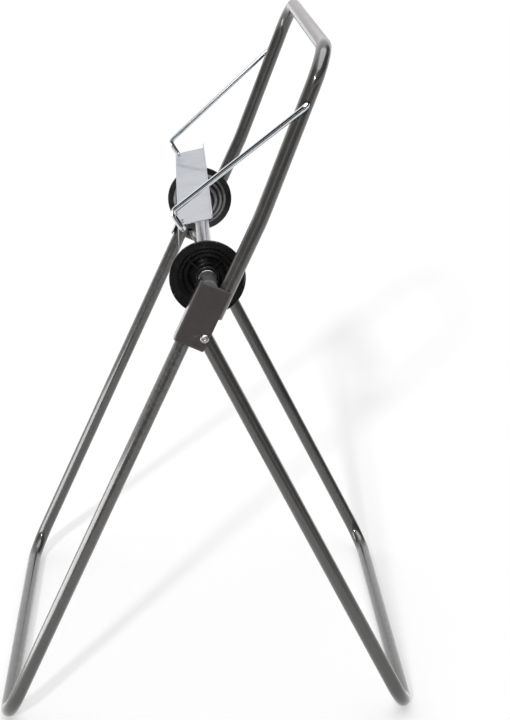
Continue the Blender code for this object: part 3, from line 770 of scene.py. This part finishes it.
def make_bush(side, sign):
    """A capped sleeve over the end of the axle, and the bright steel collar that ends it."""
    bore = AXLE_RADIUS + GAP
    length = BUSH_END_X - BUSH_INNER_X
    collar = 0.0022
    neck = BUSH_RADIUS - 0.0005
    outline = [(BUSH_RADIUS, length), (BUSH_RADIUS, 2.6 * collar), (neck, 2.3 * collar),
               (neck, collar + 0.0001), (bore, collar + 0.0001), (bore, length - BUSH_CAP)]
    rounded = rounded_outline([(0, length), *outline, (0, length - BUSH_CAP)], 0.0006, closed=False)
    location = AXLE + Vector((sign * BUSH_INNER_X, 0, 0))
    bush = turned(f"bush_{side}", rounded, 72, location, Vector((sign, 0, 0)))
    placed(finish_mesh(bush), "stand_frame", "grey_plastic", GREY_PLASTIC, f"axle_bush_{side}")
    rim = rounded_outline([(BUSH_RADIUS, collar), (BUSH_RADIUS, 0), (bore, 0), (bore, collar)], 0.0009)
    ring = turned(f"bush_collar_{side}", rim, 96, location, Vector((sign, 0, 0)))
    placed(finish_mesh(ring), "stand_frame", "bright_steel", RIVET_STEEL)


CONE_RADIUS = 0.050
HUB_BORE = AXLE_RADIUS + GAP
GROOVE_RADIUS = 0.0130
GROOVE = (0.0130, 0.0170)
CONE_STEPS = (          # outside of the cone from its nose to its rim: radius, height above the open back
    (0.0155, 0.0300), (0.0185, 0.0228), (0.0230, 0.0220), (0.0270, 0.0158), (0.0310, 0.0150),
    (0.0345, 0.0098), (0.0375, 0.0090), (0.0410, 0.0045), (CONE_RADIUS, 0.0040), (CONE_RADIUS, 0.0),
)
CONE_HOLLOW = (         # inside of the cone from its rim to the hub
    (0.0480, 0.0), (0.0480, 0.0021), (0.0399, 0.0025), (0.0364, 0.0070), (0.0334, 0.0078),
    (0.0299, 0.0130), (0.0259, 0.0138), (0.0219, 0.0200), (0.0150, 0.0208),
)
HUB = (                 # the hub's back, its bore and the groove for the grip ring
    (0.0150, 0.0030), (HUB_BORE, 0.0030), (HUB_BORE, GROOVE[0]), (GROOVE_RADIUS, GROOVE[0]),
    (GROOVE_RADIUS, GROOVE[1]), (HUB_BORE, GROOVE[1]), (HUB_BORE, 0.0300),
)
RIB_OUTLINE = (         # a rib between the hub and the stepped wall: radius, height above the open back
    (0.0138, 0.0110), (0.0318, 0.0110), (0.0305, 0.0140), (0.0270, 0.0148), (0.0226, 0.0210),
    (0.0180, 0.0218), (0.0138, 0.0220),
)
RIB_COUNT = 4
RIB_THICKNESS = 0.0018
RIB_START = math.radians(42)


def make_cone_mesh():
    """A hollow stepped cone with its back in the local XY plane, its nose up, and ribs in its back."""
    outline = rounded_outline([*CONE_STEPS, *CONE_HOLLOW, *HUB], 0.0007)
    cone = turned("cone_shell", outline, 128, Vector(), Vector((0, 0, 1)))
    work = bmesh.new()
    for number in range(RIB_COUNT):
        turn = Matrix.Rotation(RIB_START + 2 * math.pi / RIB_COUNT * number, 4, "Z")
        walls = []
        for offset in (-RIB_THICKNESS / 2, RIB_THICKNESS / 2):
            walls.append([work.verts.new(turn @ Vector((r, offset, h))) for r, h in RIB_OUTLINE])
        work.faces.new(walls[0])
        work.faces.new(reversed(walls[1]))
        for k in range(len(RIB_OUTLINE)):
            after = (k + 1) % len(RIB_OUTLINE)
            work.faces.new((walls[0][after], walls[0][k], walls[1][k], walls[1][after]))
    bmesh.ops.recalc_face_normals(work, faces=work.faces)
    mesh = bpy.data.meshes.new("ribs")
    work.to_mesh(mesh)
    work.free()
    ribs = new_object("ribs", mesh)
    join = cone.modifiers.new("ribs", "BOOLEAN")
    join.operation = "UNION"
    join.object = ribs
    evaluated_copy(cone)
    bpy.data.objects.remove(ribs, do_unlink=True)
    finish_mesh(cone, angle=30)
    result = cone.data
    bpy.data.objects.remove(cone, do_unlink=True)
    return result


def along_axle(sign):
    """From a cone's own space, nose up, to its place on the axle, nose towards the middle."""
    turn = Matrix.Rotation(-sign * math.pi / 2, 4, "Y")
    return Matrix.Translation(AXLE + Vector((sign * CONE_BACK_X, 0, 0))) @ turn


def make_cone(side, sign, mesh):
    """One cone in its place on the axle."""
    cone = new_object(f"stepped_cone_{side}", mesh.copy())
    cone.matrix_world = along_axle(sign)
    placed(cone, f"{side}_cone", "black_plastic", BLACK_PLASTIC, f"cone_{side}")


def make_grip_ring(side, sign):
    """A rubber ring in the hub's groove."""
    cord = (GROOVE_RADIUS - AXLE_RADIUS) / 2 - GAP
    middle = (GROOVE_RADIUS + AXLE_RADIUS) / 2
    height = sum(GROOVE) / 2
    outline = [(middle + cord * math.cos(a), height + cord * math.sin(a))
               for a in (2 * math.pi * k / 16 for k in range(16))]
    ring = turned(f"grip_ring_{side}", outline, 72, Vector(), Vector((0, 0, 1)))
    ring.matrix_world = along_axle(sign)
    placed(finish_mesh(ring), f"{side}_cone", "rubber", RUBBER, f"cone_grip_ring_{side}")


# ---------------------------------------------------------------- bail and tear plate
def make_bail():
    """One bent rod: its ends turn inward into the holes, its middle runs under the tear plate."""
    hook_bend = BAIL_BENDS[0]
    straight_to = TUBE_OUTER_X + GAP + BAIL_CLEAR
    elbow = Vector((BAIL_SIDE_X, *BAIL_ELBOW))
    arm = (elbow - BAIL_PIVOT - Vector((straight_to, 0, 0))).normalized()
    hook_x = straight_to + hook_bend * math.tan(Vector((1, 0, 0)).angle(arm) / 2)
    half = [BAIL_PIVOT + Vector((LEG_X, 0, 0)), BAIL_PIVOT + Vector((hook_x, 0, 0)), elbow,
            Vector((BAIL_SIDE_X, *BAIL_CROSS))]
    mirrored = [Vector((-p.x, p.y, p.z)) for p in reversed(half)]
    path = bent_path(half + mirrored, BAIL_BENDS + BAIL_BENDS[::-1])
    bail = rod("bail", path, BAIL_RADIUS, sides=32, chamfer=0.0005)
    placed(finish_mesh(bail), "bail", "chromed_wire", BAIL_STEEL, "tear_bail")


def make_plate():
    """A folded sheet: a toothed front flange, the broad face, and a rear lip."""
    corners = [Vector((0, *(PLATE_CORNER - Vector((0, PLATE_DROP))))), Vector((0, *PLATE_CORNER)),
               Vector((0, *PLATE_REAR)), Vector((0, *(PLATE_REAR + PLATE_UP * PLATE_LIP)))]
    outline = bent_path(corners, PLATE_BENDS, math.radians(12))
    corner = 0.0015
    ease = [corner * (1 - math.cos(math.pi / 2 * k / 5)) for k in range(6)]
    columns = []
    steps = TOOTH_COUNT * 4
    places = [-PLATE_HALF + d for d in ease[:-1]]
    places += [-PLATE_HALF + 2 * PLATE_HALF * k / steps for k in range(1, steps)]
    places += [PLATE_HALF - d for d in reversed(ease[:-1])]
    for x in sorted(places):
        phase = (x + PLATE_HALF) / (2 * PLATE_HALF) * TOOTH_COUNT
        tooth = TOOTH_DEPTH * (1 - abs(2 * (phase % 1) - 1))
        inset = min(PLATE_HALF - abs(x), corner)
        rounding = corner - math.sqrt(max(0, corner**2 - (corner - inset) ** 2))
        column = [Vector((x, p.y, p.z)) for p in outline]
        column[0].z += TOOTH_DEPTH - tooth + rounding
        last = column[-1] - column[-2]
        column[-1] -= last.normalized() * rounding
        wide = column.pop(0), column[0]
        column = [wide[0] + (wide[1] - wide[0]) * k / 6 for k in range(6)] + column
        columns.append(column)
    plate = thicken(strip_mesh("plate", columns), PLATE_SHEET, -1)
    soften(recalculated(plate), 0.00025, segments=2, angle=50)
    holes = []
    for _, sign in SIDES:
        for offset in (-CLIP_HOLE_OFFSET, CLIP_HOLE_OFFSET):
            place = Vector((sign * CLIP_X + offset, BAIL_CROSS[0], PLATE_CORNER.y))
            holes.append(drill(place, Vector((0, 0, 1)), CLIP_HOLE_RADIUS, 12 * PLATE_SHEET, sides=24))
    cut(plate, holes)
    placed(finish_mesh(plate), "bail", "galvanised_sheet", ZINC, "tear_plate")


STUD_OUTLINE = (        # the dome, and the stem in its hole: radius, height above the plate
    (0, 0.0009), (0.0009, 0.0008), (0.0016, 0.0005), (0.0020, 0.00005), (0.0011, 0.00005),
    (0.0011, -0.0008), (0, -0.0008),
)


def make_studs(side, sign):
    """The domed heads of the clip's two studs over their holes in the plate, made dark as painted shade for
    the holes.
    """
    up = Vector((0, *PLATE_UP))
    top = PLATE_CORNER + PLATE_SLOPE * ((BAIL_CROSS[0] - PLATE_CORNER.x) / PLATE_SLOPE.x)
    for number, offset in enumerate((-CLIP_HOLE_OFFSET, CLIP_HOLE_OFFSET)):
        location = Vector((sign * CLIP_X + offset, *top))
        stud = turned(f"clip_stud_{side}_{number + 1}", STUD_OUTLINE, 32, location, up)
        placed(finish_mesh(stud, angle=50), "bail", "bright_steel", PAINTED_SHADE_STEEL)


def make_clip(side, sign):
    """A saddle that holds the rod in the fold of the plate."""
    radius = BAIL_RADIUS + GAP
    under = PLATE_CORNER + PLATE_SLOPE * CLIP_TAB_PLACE - PLATE_UP * (PLATE_SHEET + GAP)
    start_angle, end_angle = CLIP_WRAP
    steps = 24
    turns = (start_angle + (end_angle - start_angle) * k / steps for k in range(steps + 1))
    profile = [under + PLATE_SLOPE * CLIP_TAB, under]
    profile += [Vector(BAIL_CROSS) + Vector((math.cos(a), math.sin(a))) * radius for a in turns]
    across = (sign * CLIP_X + CLIP_WIDTH * (k / 4 - 0.5) for k in range(5))
    columns = [[Vector((x, *point)) for point in profile] for x in across]
    clip = thicken(strip_mesh(f"clip_{side}", columns), CLIP_SHEET, 1)
    soften(recalculated(clip), 0.0002, segments=2, angle=50)
    placed(finish_mesh(clip), "bail", "galvanised_sheet", ZINC, f"bail_clip_{side}")


# ---------------------------------------------------------------- the stand
make_front_legs()
make_rear_legs()
make_upper_frame()
make_axle()
make_bail()
make_plate()
CONE_MESH = make_cone_mesh()
for side_name, side_sign in SIDES:
    make_bracket(side_name, side_sign)
    make_welds(side_name, side_sign)
    make_rivet(side_name, side_sign)
    make_ring(f"spacer_{side_name}", TUBE_OUTER_X + GAP, side_sign, "stand_frame", "nylon", NYLON,
              f"pivot_spacer_{side_name}")
    make_ring(f"washer_{side_name}", RIVET_TAIL_X + GAP, side_sign, "stand_frame", "bright_steel",
              RIVET_STEEL, f"rivet_washer_{side_name}")
    make_bush(side_name, side_sign)
    make_cone(side_name, side_sign, CONE_MESH)
    make_grip_ring(side_name, side_sign)
    make_clip(side_name, side_sign)
    make_studs(side_name, side_sign)


# ---------------------------------------------------------------- floor, light and camera
FLOOR_GLOW = 0.40
STUDIO_WHITE = (1.25, 1.25, 1.25)
STUDIO_DARK = (0.03, 0.03, 0.034)
PLAIN_WHITE = (1.05, 1.05, 1.05)  # what the camera itself sees round the stand
STUDIO_BACK = (0.68, 0.64, 0.655)
BACK = (-0.96, -0.84)             # how far round behind the stand the greyer wall is full and ends
BACK_TOP = (0.10, 0.26)           # height where that wall ends
DARK_RIGHT = 0.7                  # how much further round the dark reaches on the right of the picture
DARK_FRONT = (0.05, 0.45)         # how far round to the camera's side the dark begins and is full
DARK_SIDES = (-0.35, -0.05)       # the same above the horizon, where it reaches further round
HORIZON = (0.10, 0.22)            # height of the bright band round the sides
CEILING = (0.68, 0.90)            # how high the dark ends
KEY_TRAVEL = Vector((-2.05, 0.59, -1.0))
KEY_STRENGTH = 1.8
KEY_ANGLE = math.radians(3.4)


def make_floor():
    """A plain pale floor, wide enough to reach past the camera's view."""
    mesh = bpy.data.meshes.new("floor")
    work = bmesh.new()
    bmesh.ops.create_grid(work, x_segments=1, y_segments=1, size=40)
    work.to_mesh(mesh)
    work.free()
    floor = new_object("floor", mesh)
    floor.location.z = FLAT - TUBE_RADIUS - 0.0001
    surface, _, shader, _ = new_surface("floor", (0.60, 0.60, 0.60), 0.0, 0.9)
    shader.inputs["Emission Color"].default_value = (1, 1, 1, 1)
    shader.inputs["Emission Strength"].default_value = FLOOR_GLOW
    mesh.materials.append(surface)


def make_world():
    """A white studio that is dark on the camera's side, up to the ceiling light, and white to look at."""
    world = bpy.data.worlds.new("studio")
    world.use_nodes = True
    bpy.context.scene.world = world
    tree = world.node_tree
    direction = tree.nodes.new("ShaderNodeSeparateXYZ")
    tree.links.new(tree.nodes.new("ShaderNodeTexCoord").outputs["Generated"], direction.inputs["Vector"])
    right = maths(tree, "MULTIPLY", maths(tree, "MAXIMUM", direction.outputs["Y"], 0.0), DARK_RIGHT)
    towards = maths(tree, "ADD", direction.outputs["X"], right)
    front = ramp(tree, towards, *DARK_FRONT, 0.0, 1.0)
    sides = ramp(tree, towards, *DARK_SIDES, 0.0, 1.0)
    above_horizon = ramp(tree, direction.outputs["Z"], *HORIZON, 0.0, 1.0)
    below_ceiling = ramp(tree, direction.outputs["Z"], *CEILING, 1.0, 0.0)
    dark = maths(tree, "MAXIMUM", front, maths(tree, "MULTIPLY", sides, above_horizon))
    dark = maths(tree, "MULTIPLY", dark, below_ceiling)
    behind = maths(tree, "MULTIPLY", ramp(tree, direction.outputs["X"], *BACK, 1.0, 0.0),
                   ramp(tree, direction.outputs["Z"], *BACK_TOP, 1.0, 0.0))
    studio = blend_colours(tree, dark, blend_colours(tree, behind, STUDIO_WHITE, STUDIO_BACK), STUDIO_DARK)
    background = tree.nodes["Background"]
    tree.links.new(studio, background.inputs["Color"])
    plain = tree.nodes.new("ShaderNodeBackground")
    plain.inputs["Color"].default_value = (*PLAIN_WHITE, 1)
    seen = tree.nodes.new("ShaderNodeMixShader")
    tree.links.new(tree.nodes.new("ShaderNodeLightPath").outputs["Is Camera Ray"], seen.inputs["Fac"])
    tree.links.new(background.outputs["Background"], seen.inputs[1])
    tree.links.new(plain.outputs["Background"], seen.inputs[2])
    tree.links.new(seen.outputs["Shader"], tree.nodes["World Output"].inputs["Surface"])


def make_card(name, centre, size, facing, radiance):
    """A reflector card that only glossy surfaces see, as a photographer would use to shape tubes."""
    mesh = bpy.data.meshes.new(name)
    work = bmesh.new()
    bmesh.ops.create_grid(work, x_segments=1, y_segments=1, size=0.5)
    bmesh.ops.scale(work, vec=(*size, 1), verts=work.verts)
    work.to_mesh(mesh)
    work.free()
    card = new_object(name, mesh)
    card.matrix_world = Matrix.Translation(centre) @ facing.to_track_quat("Z", "Y").to_matrix().to_4x4()
    surface, _, shader, _ = new_surface(name, (0, 0, 0), 0.0, 1.0)
    shader.inputs["Emission Color"].default_value = (1, 1, 1, 1)
    shader.inputs["Emission Strength"].default_value = radiance
    mesh.materials.append(surface)
    card.visible_camera = False
    card.visible_diffuse = False
    card.visible_shadow = False
    card.visible_transmission = False


def make_cards():
    """Bright cards low on the left and overhead, and a dark one on the floor before the camera."""
    left = Vector((0.42, -1.45, 0.20))
    make_card("left_card", left, (1.40, 0.55), Vector((0.28, -0.10, 0.20)) - left, 7.5)
    make_card("top_card", Vector((1.3, 0.8, 3.2)), (3.6, 2.6), Vector((0, 0, -1)), 4.5)
    make_card("front_card", Vector((4.30, 0, 0.001)), (6.0, 8.0), Vector((0, 0, 1)), 0.05)


def make_key():
    """A low sun from the camera's side, a little to its left, that lays the soft shadow on the floor."""
    light = bpy.data.lights.new("key", "SUN")
    light.energy = KEY_STRENGTH
    light.angle = KEY_ANGLE
    light.specular_factor = 0.3
    lamp = bpy.data.objects.new("key", light)
    bpy.context.scene.collection.objects.link(lamp)
    lamp.rotation_mode = "QUATERNION"
    lamp.rotation_quaternion = KEY_TRAVEL.to_track_quat("-Z", "Y")


def make_camera():
    """The view from the right-hand side, a little to the front and above."""
    lens = 81.80
    place = Vector((2.29590, -0.04130, 1.18423))
    look = Vector((-0.949569, 0.050555, -0.309454)).normalized()
    right = Vector((0.053165, 0.998586, 0)).normalized()
    data = bpy.data.cameras.new("camera")
    data.lens = lens
    data.sensor_width = 36
    data.clip_start = 0.05
    data.clip_end = 100
    camera = bpy.data.objects.new("camera", data)
    bpy.context.scene.collection.objects.link(camera)
    up = right.cross(look)
    camera.matrix_world = Matrix.Translation(place) @ Matrix((right, up, -look)).transposed().to_4x4()
    bpy.context.scene.camera = camera


make_floor()
make_world()
make_cards()
make_key()
make_camera()
bpy.context.scene.view_settings.view_transform = "Standard"
